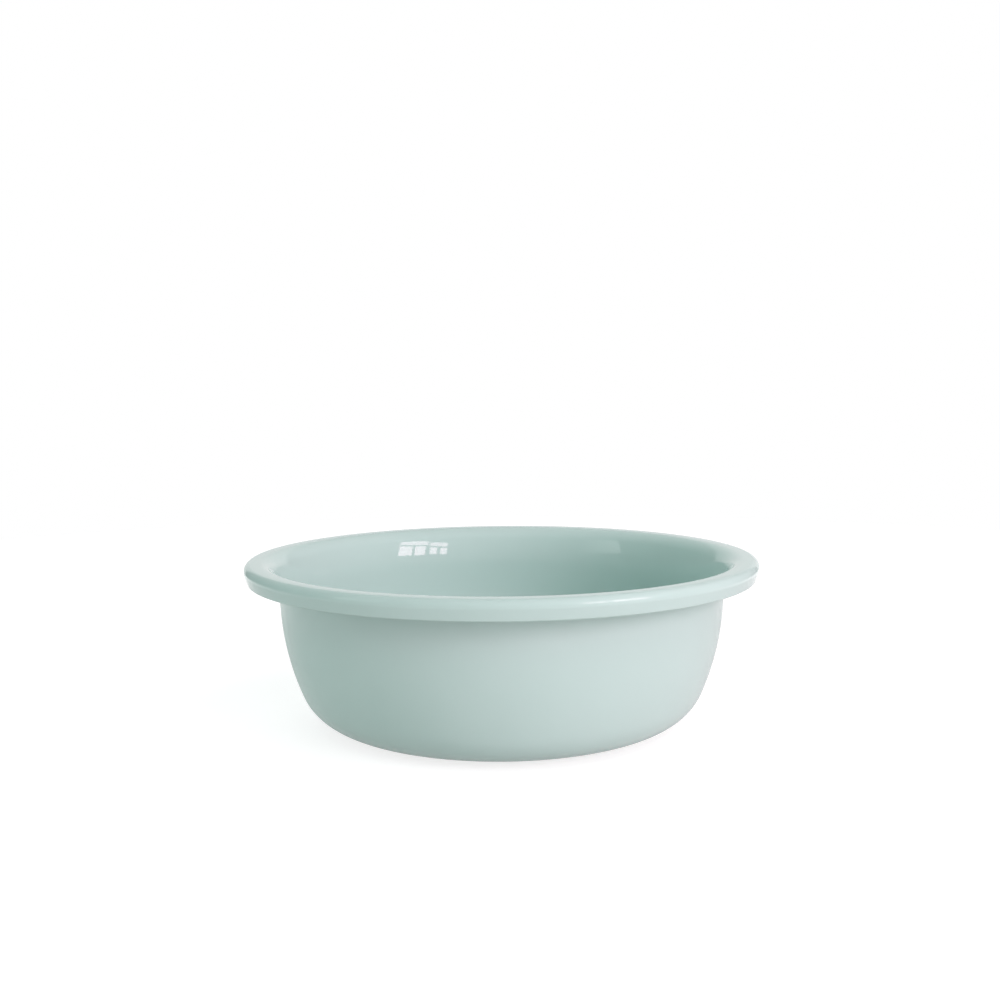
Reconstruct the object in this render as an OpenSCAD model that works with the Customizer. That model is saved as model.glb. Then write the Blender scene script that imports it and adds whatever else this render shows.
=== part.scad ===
// Round washing basin, one injection moulding in glossy polypropylene.
// The origin is the centre of the foot, on the surface that the basin stands on, with +Z up.
// Its profile is one wall thick, a chain of arcs that run into each other without a kink, turned about Z.

/* [Bowl] */
// Height from the standing surface to the top of the rim
basin_h = 104; // [98:1:112]
// Outside diameter at which the wall's arc, carried on up, would stand upright
bowl_d = 277; // [274:1:280]
// Depth below the top of the rim at which that arc would stand upright
upright_depth = 20; // [14:1:24]
// Diameter at which the round corner runs level with the base
base_d = 192; // [184:1:200]
// Outside radius of the round corner between the wall and the base
corner_r = 32.5; // [28:0.5:35]
// Rise of the base from its round corner to its centre
base_crown = 1.5; // [0.5:0.1:3]
// Thickness of the moulded wall
wall_t = 2; // [1.6:0.1:2.4]

/* [Rim] */
// Overall diameter across the rim
rim_d = 320; // [316:1:326]
// Diameter of the ring where the rim's shoulder reaches its level top
crest_d = 302; // [300:1:304]
// Radius of the flare that carries the inside of the wall out towards the rim
flare_r = 72; // [60:1:90]
// Radius of the shoulder that carries the flare over to the level top of the rim
shoulder_r = 11.25; // [10.5:0.25:12]
// Radius of the rim's outer edge
edge_r = 4.4; // [3.6:0.1:5.4]
// Height of the rim, from its top to the lower lip of its skirt
rim_h = 11.6; // [10.5:0.1:14]
// Lean of the skirt, inwards as it goes down
skirt_lean = 17; // [4:1:20]

/* [Foot] */
// Diameter of the foot ring at the middle of its width
foot_d = 178; // [160:1:180]
// Width of the foot ring where it stands
foot_w = 4; // [3:0.5:6]
// Height of the foot ring under the base
foot_h = 2; // [1.6:0.1:3]
// Draft of the foot ring's sides
foot_draft = 10; // [3:1:20]

/* [Gate] */
// Diameter of the shallow dish round the moulding gate, in the middle of the underside
gate_dish_d = 16; // [12:1:24]
// Depth of that dish
gate_dish_depth = 0.7; // [0.5:0.1:1]
// Diameter of the gate's trimmed stub
gate_stub_d = 3; // [2:0.5:4]
// Height of the stub, inside the dish
gate_stub_h = 0.4; // [0.2:0.1:0.4]

/* [Hidden] */
$fn = 360;

// Most that the chords of an arc in the profile may lie inside it
chord_gap = 0.03;

// Wall: an arc that leans in more and more on its way down and runs into the round corner
bowl_r = bowl_d / 2;
base_r = base_d / 2;
base_z = foot_h;
corner_centre = [base_r, base_z + corner_r];
upright_z = basin_h - upright_depth;
wall_in = bowl_r - base_r;
wall_drop = upright_z - corner_centre.y;
wall_r = (wall_in^2 + wall_drop^2 - corner_r^2) / (2 * (wall_in - corner_r));
wall_centre = [bowl_r - wall_r, upright_z];
wall_end = -asin(wall_drop / (wall_r - corner_r));

// Base: a flat dome that leaves the round corner just past its lowest point
crown_turn = 2 * atan(base_crown / base_r);
crown_r = base_r / sin(crown_turn) - corner_r;
crown_centre = [0, base_z + base_crown - crown_r];
corner_end = -90 - crown_turn;

// Shoulder and flare: a tight arc down from the level top, then a wider one that touches the wall
shoulder_centre = [crest_d / 2, basin_h - shoulder_r];
flare_centre = circles_meet(wall_centre, wall_r - wall_t + flare_r, shoulder_centre, flare_r - shoulder_r);
shoulder_end = direction(flare_centre, shoulder_centre);
wall_start = direction(wall_centre, flare_centre);

// Rim's outer edge, and the lip that ends its skirt
edge_centre = [rim_d / 2 - edge_r, basin_h - edge_r];
lip_r = wall_t / 2;
skirt_out = [cos(skirt_lean), -sin(skirt_lean)];
skirt_down = [-sin(skirt_lean), -cos(skirt_lean)];
skirt_start = edge_centre + (edge_r - lip_r) * skirt_out;
lip_z = basin_h - rim_h + lip_r;
lip_centre = skirt_start + (skirt_start.y - lip_z) / cos(skirt_lean) * skirt_down;

// Angle at which one point is seen from another
function direction(from, to) = atan2(to.y - from.y, to.x - from.x);

// The place where two circles cross, to the right of the way from the first to the second
function circles_meet(a, a_r, b, b_r) =
    let (
        apart = norm(b - a),
        ahead = (b - a) / apart,
        along = (apart^2 + a_r^2 - b_r^2) / (2 * apart),
        aside = sqrt(a_r^2 - along^2)
    )
    a + along * ahead + aside * [ahead.y, -ahead.x];

// Points along an arc, close enough together for chord_gap
function arc(centre, r, from, to) =
    let (steps = ceil(abs(to - from) / (2 * acos(1 - chord_gap / r))))
    [for (i = [0:steps]) let (a = from + (to - from) * i / steps) centre + r * [cos(a), sin(a)]];

// The same without its first point, for an arc that starts where the last one ended
function arc_on(centre, r, from, to) =
    let (points = arc(centre, r, from, to))
    [for (i = [1:len(points) - 1]) points[i]];

// The side of the wall that holds the water, from the skirt's lip over the rim to the middle of the base
function water_side() = concat(
    arc(edge_centre, edge_r, -skirt_lean, 90),
    arc(shoulder_centre, shoulder_r, 90, shoulder_end),
    arc_on(flare_centre, flare_r, shoulder_end, 180 + wall_start),
    arc_on(wall_centre, wall_r - wall_t, wall_start, wall_end),
    arc_on(corner_centre, corner_r - wall_t, wall_end, corner_end),
    arc_on(crown_centre, crown_r + wall_t, 90 - crown_turn, 90)
);

// The other side, from the middle of the underside back up under the rim and round the skirt's lip
function outer_side() = concat(
    arc(crown_centre, crown_r, 90, 90 - crown_turn),
    arc_on(corner_centre, corner_r, corner_end, wall_end),
    arc_on(wall_centre, wall_r, wall_end, wall_start),
    arc_on(flare_centre, flare_r - wall_t, 180 + wall_start, shoulder_end),
    arc_on(shoulder_centre, shoulder_r - wall_t, shoulder_end, 90),
    arc(edge_centre, edge_r - wall_t, 90, -skirt_lean),
    arc(lip_centre, lip_r, 180 - skirt_lean, 360 - skirt_lean)
);

module foot_profile() {
    top = foot_h + wall_t / 2;
    half = foot_w / 2;
    half_top = half + top * tan(foot_draft);
    translate([foot_d / 2, 0])
        polygon([[-half, 0], [half, 0], [half_top, top], [-half_top, top]]);
}

// A shallow dish, so that the gate's stub never stands lower than the foot
module gate_dish() {
    dish_r = (gate_dish_d^2 / 4 + gate_dish_depth^2) / (2 * gate_dish_depth);
    translate([0, 0, base_z + base_crown + gate_dish_depth - dish_r])
        sphere(r = dish_r);
}

module gate_stub() {
    stub_top = base_z + base_crown + gate_dish_depth;
    translate([0, 0, stub_top - gate_stub_h])
        cylinder(d = gate_stub_d, h = gate_stub_h + wall_t / 4);
}

module basin() {
    color("#b9d2cc") {
        difference() {
            rotate_extrude()
                union() {
                    polygon(concat(water_side(), outer_side()));
                    foot_profile();
                }
            gate_dish();
        }
        gate_stub();
    }
}

basin();
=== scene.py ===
import math

import bpy
from mathutils import Matrix, Vector


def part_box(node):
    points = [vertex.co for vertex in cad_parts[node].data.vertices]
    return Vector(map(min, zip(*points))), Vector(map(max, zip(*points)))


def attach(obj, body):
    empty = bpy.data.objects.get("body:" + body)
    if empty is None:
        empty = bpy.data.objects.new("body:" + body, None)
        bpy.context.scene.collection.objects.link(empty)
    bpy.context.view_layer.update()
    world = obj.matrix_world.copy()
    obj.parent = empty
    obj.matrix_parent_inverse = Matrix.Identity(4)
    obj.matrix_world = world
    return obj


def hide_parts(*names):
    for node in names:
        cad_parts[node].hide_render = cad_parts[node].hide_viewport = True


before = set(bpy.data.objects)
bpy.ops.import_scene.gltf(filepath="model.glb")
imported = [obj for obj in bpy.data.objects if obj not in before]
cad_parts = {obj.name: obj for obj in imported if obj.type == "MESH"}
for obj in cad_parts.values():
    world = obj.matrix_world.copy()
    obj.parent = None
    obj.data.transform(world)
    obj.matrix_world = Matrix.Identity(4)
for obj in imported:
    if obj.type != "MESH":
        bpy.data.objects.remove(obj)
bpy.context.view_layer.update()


# The moulding
# The whole basin is one shot of polypropylene: bowl, turned-over rim, skirt and foot ring.
# Its section is one wall thick, and the mould turned it about the upright axis.
MM = 0.001
low_corner, high_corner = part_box("basin")
RIM_RADIUS = high_corner.y
TOP = high_corner.z
WALL = 2 * MM

# Bowl: a wall that leans in more and more on its way down, a round corner and a base that rises to its centre
BOWL_RADIUS = 138.5 * MM
UPRIGHT_DEPTH = 20 * MM
BASE_RADIUS = 96 * MM
BASE_CROWN = 1.5 * MM
CORNER = 32.5 * MM

# Rim: a flare and a shoulder up from the bowl, a level top, a tight outer edge and a skirt that leans in
CREST_RADIUS = 151 * MM
FLARE = 72 * MM
SHOULDER = 11.25 * MM
EDGE = 4.4 * MM
RIM_HEIGHT = 11.6 * MM
SKIRT_LEAN = math.radians(17)
LIP = WALL / 2

# Foot: a ring under the base, with drafted sides and every edge eased
FOOT_HEIGHT = 2 * MM
FOOT_RADIUS = 89 * MM
FOOT_WIDTH = 4 * MM
FOOT_DRAFT = math.radians(10)
FOOT_EASE = 0.6 * MM

# Gate: a shallow dish in the middle of the underside, with the trimmed stub that the plastic came in by
DISH_RADIUS = 8 * MM
DISH_DEPTH = 0.7 * MM
STUB_RADIUS = 1.5 * MM
STUB_HEIGHT = 0.4 * MM
STUB_EASE = 0.12 * MM

# Fine enough that the gloss shows no facets: steps round the axis, then the longest step along an arc of the
# section and the most that one step turns
RING_STEPS = 228
ARC_STEP = 3 * MM
ARC_TURN = math.radians(4)

QUARTER = math.pi / 2


def arc(centre, radius, start, end):
    """Points along an arc of the section, both ends included."""
    turn = abs(end - start)
    steps = max(math.ceil(turn * radius / ARC_STEP), math.ceil(turn / ARC_TURN))
    angles = [start + (end - start) * i / steps for i in range(steps + 1)]
    return [centre + radius * Vector((math.cos(a), math.sin(a))) for a in angles]


def direction(start, end):
    """Angle at which one point of the section is seen from another."""
    return math.atan2(end.y - start.y, end.x - start.x)


def eased(corners, radius):
    """A line through the corners, with its ends as they are and each corner between them rounded."""
    points = [corners[0]]
    for before, corner, after in zip(corners, corners[1:], corners[2:]):
        back, ahead = (before - corner).normalized(), (after - corner).normalized()
        half = back.angle(ahead) / 2
        centre = corner + (back + ahead).normalized() * radius / math.sin(half)
        start = direction(centre, corner + back * radius / math.tan(half))
        end = direction(centre, corner + ahead * radius / math.tan(half))
        points += arc(centre, radius, start, start + math.remainder(end - start, 2 * math.pi))
    return points + [corners[-1]]


# Wall, corner and base, as arcs that run into each other
corner_centre = Vector((BASE_RADIUS, FOOT_HEIGHT + CORNER))
upright_z = TOP - UPRIGHT_DEPTH
wall_in = BOWL_RADIUS - BASE_RADIUS
wall_drop = upright_z - corner_centre.y
wall_radius = (wall_in**2 + wall_drop**2 - CORNER**2) / (2 * (wall_in - CORNER))
wall_centre = Vector((BOWL_RADIUS - wall_radius, upright_z))
wall_end = -math.asin(wall_drop / (wall_radius - CORNER))
crown_turn = 2 * math.atan(BASE_CROWN / BASE_RADIUS)
crown_radius = BASE_RADIUS / math.sin(crown_turn) - CORNER
crown_centre = Vector((0, FOOT_HEIGHT + BASE_CROWN - crown_radius))
corner_end = -QUARTER - crown_turn

# Shoulder, and the flare that touches both it and the wall
shoulder_centre = Vector((CREST_RADIUS, TOP - SHOULDER))
to_flare_from_wall = wall_radius - WALL + FLARE
to_flare_from_shoulder = FLARE - SHOULDER
between = shoulder_centre - wall_centre
along = (between.length_squared + to_flare_from_wall**2 - to_flare_from_shoulder**2) / (2 * between.length)
aside = math.sqrt(to_flare_from_wall**2 - along**2)
ahead = between.normalized()
flare_centre = wall_centre + along * ahead + aside * Vector((ahead.y, -ahead.x))
wall_start = direction(wall_centre, flare_centre)
shoulder_end = direction(flare_centre, shoulder_centre)

# Outer edge, skirt and lip
edge_centre = Vector((RIM_RADIUS - EDGE, TOP - EDGE))
skirt_out = Vector((math.cos(SKIRT_LEAN), -math.sin(SKIRT_LEAN)))
skirt_top = edge_centre + (EDGE - LIP) * skirt_out
lip_z = TOP - RIM_HEIGHT + LIP
lip_centre = Vector((skirt_top.x - (skirt_top.y - lip_z) * math.tan(SKIRT_LEAN), lip_z))

# The polished side of the mould: middle of the base, up the inside, over the rim and down the skirt
polished = arc(crown_centre, crown_radius + WALL, QUARTER, QUARTER - crown_turn)
polished += arc(corner_centre, CORNER - WALL, corner_end, wall_end)[1:]
polished += arc(wall_centre, wall_radius - WALL, wall_end, wall_start)[1:]
polished += arc(flare_centre, FLARE, math.pi + wall_start, shoulder_end)[1:]
polished += arc(shoulder_centre, SHOULDER, shoulder_end, QUARTER)[1:]
polished += arc(edge_centre, EDGE, QUARTER, -SKIRT_LEAN)

# The satin side: round the lip, under the rim and down the outside to the base
satin = arc(lip_centre, LIP, -SKIRT_LEAN, -math.pi - SKIRT_LEAN)
satin += arc(edge_centre, EDGE - WALL, -SKIRT_LEAN, QUARTER)
satin += arc(shoulder_centre, SHOULDER - WALL, QUARTER, shoulder_end)
satin += arc(flare_centre, FLARE - WALL, shoulder_end, math.pi + wall_start)[1:]
satin += arc(wall_centre, wall_radius, wall_start, wall_end)[1:]
satin += arc(corner_centre, CORNER, wall_end, corner_end)[1:]


def crown_angle(radius):
    """Angle on the underside of the base at a distance from the axis."""
    return math.acos(radius / crown_radius)


def crown_point(radius):
    """Place on the underside of the base at a distance from the axis."""
    return arc(crown_centre, crown_radius, crown_angle(radius), QUARTER)[0]


# The foot ring, and the base inside it from where the ring's last ease has run out
foot_half = FOOT_WIDTH / 2
foot_half_top = foot_half + FOOT_HEIGHT * math.tan(FOOT_DRAFT)
base_inside = FOOT_RADIUS - foot_half_top - 2 * FOOT_EASE
satin += eased([satin.pop(), crown_point(FOOT_RADIUS + foot_half_top), Vector((FOOT_RADIUS + foot_half, 0)),
                Vector((FOOT_RADIUS - foot_half, 0)), crown_point(FOOT_RADIUS - foot_half_top),
                crown_point(base_inside)], FOOT_EASE)
satin += arc(crown_centre, crown_radius, crown_angle(base_inside), crown_angle(DISH_RADIUS))[1:]

# The gate: the dish down to twice the stub's radius, and a straight run from there to the stub
dish_turn = 2 * math.atan(DISH_DEPTH / DISH_RADIUS)
dish_ball = DISH_RADIUS / math.sin(dish_turn)
dish_top = FOOT_HEIGHT + BASE_CROWN + DISH_DEPTH
dish_centre = Vector((0, dish_top - dish_ball))
stub_root = 2 * STUB_RADIUS
satin += arc(dish_centre, dish_ball, QUARTER - dish_turn, math.acos(stub_root / dish_ball))[1:]
satin += eased([satin.pop(), Vector((STUB_RADIUS, dish_top)), Vector((STUB_RADIUS, dish_top - STUB_HEIGHT)),
                Vector((0, dish_top - STUB_HEIGHT))], STUB_EASE)


def lathe(name, section, seam):
    """Turns a section that starts and ends on the axis into a closed mesh; faces after seam take slot 1."""
    rings = section[1:-1]
    angles = [2 * math.pi * i / RING_STEPS for i in range(RING_STEPS)]
    points = [(p.x * math.cos(a), p.x * math.sin(a), p.y) for p in rings for a in angles]
    inner_pole = len(points)
    outer_pole = inner_pole + 1
    points += [(0, 0, section[0].y), (0, 0, section[-1].y)]
    last = (len(rings) - 1) * RING_STEPS
    faces = []
    slots = []
    for i in range(RING_STEPS):
        j = (i + 1) % RING_STEPS
        faces.append((inner_pole, i, j))
        slots.append(0)
        for ring in range(len(rings) - 1):
            start = ring * RING_STEPS
            faces.append((start + i, start + RING_STEPS + i, start + RING_STEPS + j, start + j))
            slots.append(0 if ring < seam else 1)
        faces.append((last + i, outer_pole, last + j))
        slots.append(1)
    mesh = bpy.data.meshes.new(name)
    mesh.from_pydata(points, [], faces)
    mesh.polygons.foreach_set("material_index", slots)
    mesh.polygons.foreach_set("use_smooth", [True] * len(faces))
    mesh.update()
    piece = bpy.data.objects.new(name, mesh)
    bpy.context.scene.collection.objects.link(piece)
    return piece


basin = lathe("basin_moulding", polished + satin, len(polished) - 1)


def linear(code):
    """An sRGB hex colour as linear red, green, blue and a full alpha."""
    parts = [int(code[i:i + 2], 16) / 255 for i in (1, 3, 5)]
    return [p / 12.92 if p <= 0.04045 else ((p + 0.055) / 1.055) ** 2.4 for p in parts] + [1.0]


def add_node(tree, kind, settings=None, **inputs):
    """Adds a node with its own settings, and sets or links inputs: i0, i1 by number, the others by name."""
    node = tree.nodes.new(kind)
    for key, value in (settings or {}).items():
        setattr(node, key, value)
    for key, value in inputs.items():
        socket = node.inputs[int(key[1:]) if key[0] == "i" and key[1:].isdigit() else key.replace("_", " ")]
        if isinstance(value, bpy.types.NodeSocket):
            tree.links.new(value, socket)
        else:
            socket.default_value = value
    return node


# Polypropylene, coloured through: two close shades, in patches as wide as it flowed into the mould
MINT_DEEP = "#acc7c1"
MINT_PALE = "#b0cbc5"
FLOW = 60 * MM

# Gloss from each side of the mould, and its swing over the usual span of the patches' values
PLASTIC_IOR = 1.49
POLISHED_ROUGHNESS = 0.04
SATIN_ROUGHNESS = 0.22
ROUGHNESS_SWING = 0.18
FLOW_SPAN = (0.25, 0.75)

# The faint ripple that the plastic set with
RIPPLE = 13 * MM
RIPPLE_DEPTH = 0.013 * MM


def polypropylene(name, roughness):
    """Pigmented polypropylene from a mould: an even waxy colour under a clear, slightly rippled gloss."""
    material = bpy.data.materials.new(name)
    material.use_nodes = True
    tree = material.node_tree
    tree.nodes.clear()
    place = add_node(tree, "ShaderNodeTexCoord").outputs["Object"]
    flow = add_node(tree, "ShaderNodeTexNoise", Vector=place, Scale=1 / FLOW, Detail=2.0)
    colour = add_node(tree, "ShaderNodeMix", {"data_type": "RGBA"}, Factor=flow.outputs["Fac"],
                      i6=linear(MINT_DEEP), i7=linear(MINT_PALE))
    gloss = add_node(tree, "ShaderNodeMapRange", Value=flow.outputs["Fac"],
                     From_Min=FLOW_SPAN[0], From_Max=FLOW_SPAN[1],
                     To_Min=roughness * (1 - ROUGHNESS_SWING), To_Max=roughness * (1 + ROUGHNESS_SWING))
    ripple = add_node(tree, "ShaderNodeTexNoise", Vector=place, Scale=1 / RIPPLE, Detail=1.0)
    bump = add_node(tree, "ShaderNodeBump", Height=ripple.outputs["Fac"], Distance=RIPPLE_DEPTH)
    shader = add_node(tree, "ShaderNodeBsdfPrincipled", Base_Color=colour.outputs[2], IOR=PLASTIC_IOR,
                      Roughness=gloss.outputs[0], Normal=bump.outputs["Normal"])
    add_node(tree, "ShaderNodeOutputMaterial", Surface=shader.outputs["BSDF"])
    return material


basin.data.materials.append(polypropylene("polypropylene_polished", POLISHED_ROUGHNESS))
basin.data.materials.append(polypropylene("polypropylene_satin", SATIN_ROUGHNESS))
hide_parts("basin")
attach(basin, "root")


# The floor
# A wide matt white board that the basin stands on. The camera sees it lit up to white, with the basin's
# shadow kept. The gloss sees its glow dimmed near the basin, which is a painted shade, and to all other light
# it is a plain pale floor.
FLOOR_RADIUS = 1.15
FLOOR_STEPS = 128
FLOOR_COLOUR = "#e6e6e4"
SHADED_COLOUR = "#a0a0a0"
FLOOR_GLOW = 0.78

# Painted shade in the gloss: the floor's glow rises from the first value to the second, between these
# distances from the middle
GLOSS_GLOW_WITH_PAINTED_SHADE = (0.4, 0.85)
GLOSS_GLOW_BETWEEN = (0.34, 0.55)

floor_mesh = bpy.data.meshes.new("floor")
floor_ring = [(FLOOR_RADIUS * math.cos(2 * math.pi * i / FLOOR_STEPS),
               FLOOR_RADIUS * math.sin(2 * math.pi * i / FLOOR_STEPS), 0) for i in range(FLOOR_STEPS)]
floor_mesh.from_pydata(floor_ring, [], [range(FLOOR_STEPS)])
floor = bpy.data.objects.new("floor", floor_mesh)
bpy.context.scene.collection.objects.link(floor)

floor_paint = bpy.data.materials.new("matt_white_board")
floor_paint.use_nodes = True
tree = floor_paint.node_tree
tree.nodes.clear()
rays = add_node(tree, "ShaderNodeLightPath")
seen = add_node(tree, "ShaderNodeMath", {"operation": "MAXIMUM"}, i0=rays.outputs["Is Camera Ray"],
                i1=rays.outputs["Is Glossy Ray"])
seen = add_node(tree, "ShaderNodeMath", {"operation": "MAXIMUM"}, i0=seen.outputs[0],
                i1=rays.outputs["Is Transmission Ray"])
plain = add_node(tree, "ShaderNodeBsdfDiffuse", Color=linear(FLOOR_COLOUR))
shaded = add_node(tree, "ShaderNodeBsdfDiffuse", Color=linear(SHADED_COLOUR))
place = add_node(tree, "ShaderNodeTexCoord").outputs["Object"]
away = add_node(tree, "ShaderNodeVectorMath", {"operation": "LENGTH"}, i0=place)
# Painted shade: the floor's glow in the gloss is dimmer near the basin
painted_shade_glow = add_node(tree, "ShaderNodeMapRange", Value=away.outputs["Value"],
                      From_Min=GLOSS_GLOW_BETWEEN[0], From_Max=GLOSS_GLOW_BETWEEN[1],
                      To_Min=GLOSS_GLOW_WITH_PAINTED_SHADE[0], To_Max=GLOSS_GLOW_WITH_PAINTED_SHADE[1])
glow = add_node(tree, "ShaderNodeMix", Factor=rays.outputs["Is Glossy Ray"], i2=FLOOR_GLOW,
                i3=painted_shade_glow.outputs[0])
white = add_node(tree, "ShaderNodeEmission", Strength=glow.outputs[0])
lit = add_node(tree, "ShaderNodeAddShader", i0=shaded.outputs[0], i1=white.outputs[0])
both = add_node(tree, "ShaderNodeMixShader", i0=seen.outputs[0], i1=plain.outputs[0], i2=lit.outputs[0])
add_node(tree, "ShaderNodeOutputMaterial", Surface=both.outputs[0])
floor_mesh.materials.append(floor_paint)


# The light
# Daylight from a window to the right: two casements, each of two panes under a long fanlight, which show in
# the gloss. A dim panel shows at the left, and soft lamps light the basin without showing.
WINDOW_TURN = math.radians(57)
WINDOW_DISTANCE = 2.0
WINDOW_STRENGTH = 8.0
WINDOW_TINT = "#ffe1ee"
FANLIGHT_SHARE = 0.85
WHITE = "#ffffff"

# Each casement: the sides of its two panes along the window, their bottom and top above the floor, then the
# same for its fanlight
CASEMENTS = (
    (((-0.89, -0.72), (-0.65, -0.475)), (0.63, 0.965), (-0.9, -0.455), (1.03, 1.25)),
    (((-0.37, -0.13), (-0.07, 0.235)), (0.58, 1.005), (-0.415, 0.24), (1.07, 1.315)),
)


def soft_lamp(name, place, aim, size, strength, tint):
    """A rectangular lamp whose face is as bright as strength says, where 1 is white."""
    lamp = bpy.data.lights.new(name, "AREA")
    lamp.shape = "RECTANGLE"
    lamp.size, lamp.size_y = size
    lamp.color = linear(tint)[:3]
    lamp.energy = strength * math.pi * size[0] * size[1]
    holder = bpy.data.objects.new(name, lamp)
    facing = (aim - place).to_track_quat("-Z", "Y").to_matrix().to_4x4()
    holder.matrix_world = Matrix.Translation(place) @ facing
    holder.visible_camera = False
    bpy.context.scene.collection.objects.link(holder)
    return holder


window_normal = Vector((math.sin(WINDOW_TURN), -math.cos(WINDOW_TURN), 0))
window_side = Vector((math.cos(WINDOW_TURN), math.sin(WINDOW_TURN), 0))
lights = []
for panes, pane_heights, fanlight, fanlight_heights in CASEMENTS:
    lights += [("pane", sides, pane_heights, 1.0) for sides in panes]
    lights.append(("fanlight", fanlight, fanlight_heights, FANLIGHT_SHARE))
for name, (near, far), (low, high), share in lights:
    place = window_normal * WINDOW_DISTANCE + window_side * (near + far) / 2
    place.z = (low + high) / 2
    opening = (far - near, high - low)
    soft_lamp(name, place, place - window_normal, opening, WINDOW_STRENGTH * share, WINDOW_TINT)

# The panel: upright strips to the left, each further round and brighter than the last, seen only in the gloss
PANEL_TURNS = (-50, -56, -62, -68, -75)
PANEL_STRENGTHS = (0.4, 0.8, 1.2, 1.6)
PANEL_RISES = (14.5, 34)
PANEL_DISTANCE = 2.0
low, high = (TOP + PANEL_DISTANCE * math.tan(math.radians(rise)) for rise in PANEL_RISES)
for start, end, strength in zip(PANEL_TURNS, PANEL_TURNS[1:], PANEL_STRENGTHS):
    middle, half = math.radians((start + end) / 2), math.radians((start - end) / 2)
    place = Vector((math.sin(middle) * PANEL_DISTANCE, -math.cos(middle) * PANEL_DISTANCE, (low + high) / 2))
    width = 2 * PANEL_DISTANCE * math.tan(half)
    panel = soft_lamp("panel", place, Vector((0, 0, place.z)), (width, high - low), strength, WHITE)
    panel.visible_diffuse = False

# Each soft lamp: turn to the right of the camera's side and rise, in degrees, then size, strength and tint
LAMP_DISTANCE = 1.7
SOFT_LAMPS = {
    "key": (37, 15, (1.6, 1.0), 3.85, "#ffdee8"),
    "high": (98, 47, (1.2, 1.0), 3.1, "#ffd6e1"),
    "fill": (-105, 6, (1.6, 0.5), 4.7, "#fff4f7"),
    "front": (5, 45, (1.2, 0.8), 1.6, "#defff6"),
    "back": (180, 25, (1.6, 0.8), 2.3, WHITE),
}
rim_middle = Vector((0, 0, TOP))
for name, (turn_right, rise, size, strength, tint) in SOFT_LAMPS.items():
    around = math.radians(turn_right)
    lift = math.radians(rise)
    toward = Vector((math.sin(around) * math.cos(lift), -math.cos(around) * math.cos(lift), math.sin(lift)))
    lamp = soft_lamp(name, rim_middle + toward * LAMP_DISTANCE, rim_middle, size, strength, tint)
    lamp.visible_glossy = False

# The room: white to the camera and a dim even fill on the basin; to the gloss a white board behind the basin,
# and a dim room that is lighter towards the camera and the ceiling
ROOM_STRENGTH = 0.352
ROOM_TINT = "#e8fffb"
GLOSS_BOARD = 0.9
BOARD_HALF = math.radians(30)
BOARD_EDGE = 0.03
GLOSS_SIDES = 0.3
GLOSS_FRONT = 0.55
GLOSS_ABOVE = 0.75
world = bpy.data.worlds.new("studio")
bpy.context.scene.world = world
world.use_nodes = True
tree = world.node_tree
tree.nodes.clear()
rays = add_node(tree, "ShaderNodeLightPath")
way = add_node(tree, "ShaderNodeTexCoord").outputs["Generated"]
ways = add_node(tree, "ShaderNodeSeparateXYZ", Vector=way)
before = add_node(tree, "ShaderNodeMapRange", Value=ways.outputs["Y"], From_Min=0.0, From_Max=-1.0,
                  To_Min=GLOSS_SIDES, To_Max=GLOSS_FRONT)
above = add_node(tree, "ShaderNodeMapRange", Value=ways.outputs["Z"], To_Max=GLOSS_ABOVE)
level = add_node(tree, "ShaderNodeMath", {"operation": "ADD"}, i0=before.outputs[0], i1=above.outputs[0])
board = add_node(tree, "ShaderNodeMapRange", Value=ways.outputs["Y"], From_Min=math.cos(BOARD_HALF),
                 From_Max=math.cos(BOARD_HALF) + BOARD_EDGE)
gloss_level = add_node(tree, "ShaderNodeMix", Factor=board.outputs[0], i2=level.outputs[0], i3=GLOSS_BOARD)
room = add_node(tree, "ShaderNodeBackground", Color=linear(ROOM_TINT), Strength=ROOM_STRENGTH)
gloss = add_node(tree, "ShaderNodeBackground", Color=linear(WHITE), Strength=gloss_level.outputs[0])
white = add_node(tree, "ShaderNodeBackground", Color=linear(WHITE), Strength=1.0)
shining = add_node(tree, "ShaderNodeMixShader", i0=rays.outputs["Is Glossy Ray"], i1=room.outputs[0],
                   i2=gloss.outputs[0])
seen = add_node(tree, "ShaderNodeMath", {"operation": "MAXIMUM"}, i0=rays.outputs["Is Camera Ray"],
                i1=rays.outputs["Is Transmission Ray"])
both = add_node(tree, "ShaderNodeMixShader", i0=seen.outputs[0], i1=shining.outputs[0], i2=white.outputs[0])
add_node(tree, "ShaderNodeOutputWorld", Surface=both.outputs[0])
bpy.context.scene.view_settings.view_transform = "Standard"

# Light that runs round inside the glossy rim bounces many times before it leaves
RIM_BOUNCES = 16
bpy.context.scene.cycles.glossy_bounces = RIM_BOUNCES


# The camera
# A 43 mm lens three quarters of a metre in front of the axis, a little above the rim, tilted down.
CAMERA_BACK = 750 * MM
CAMERA_RIGHT = -0.55 * MM
CAMERA_OVER_RIM = 107.3 * MM
CAMERA_TILT = math.radians(5.522)
CAMERA_ROLL = math.radians(-0.495)
LENS = 43.03
SENSOR = 36.0

lens = bpy.data.cameras.new("camera")
lens.lens = LENS
lens.sensor_width = SENSOR
camera = bpy.data.objects.new("camera", lens)
right = Vector((1, 0, 0))
up = Vector((0, math.sin(CAMERA_TILT), math.cos(CAMERA_TILT)))
back = right.cross(up)
across = right * math.cos(CAMERA_ROLL) + up * math.sin(CAMERA_ROLL)
upward = up * math.cos(CAMERA_ROLL) - right * math.sin(CAMERA_ROLL)
turned = Matrix((across, upward, back)).transposed().to_4x4()
camera.matrix_world = Matrix.Translation((CAMERA_RIGHT, -CAMERA_BACK, TOP + CAMERA_OVER_RIM)) @ turned
bpy.context.scene.collection.objects.link(camera)
bpy.context.scene.camera = camera
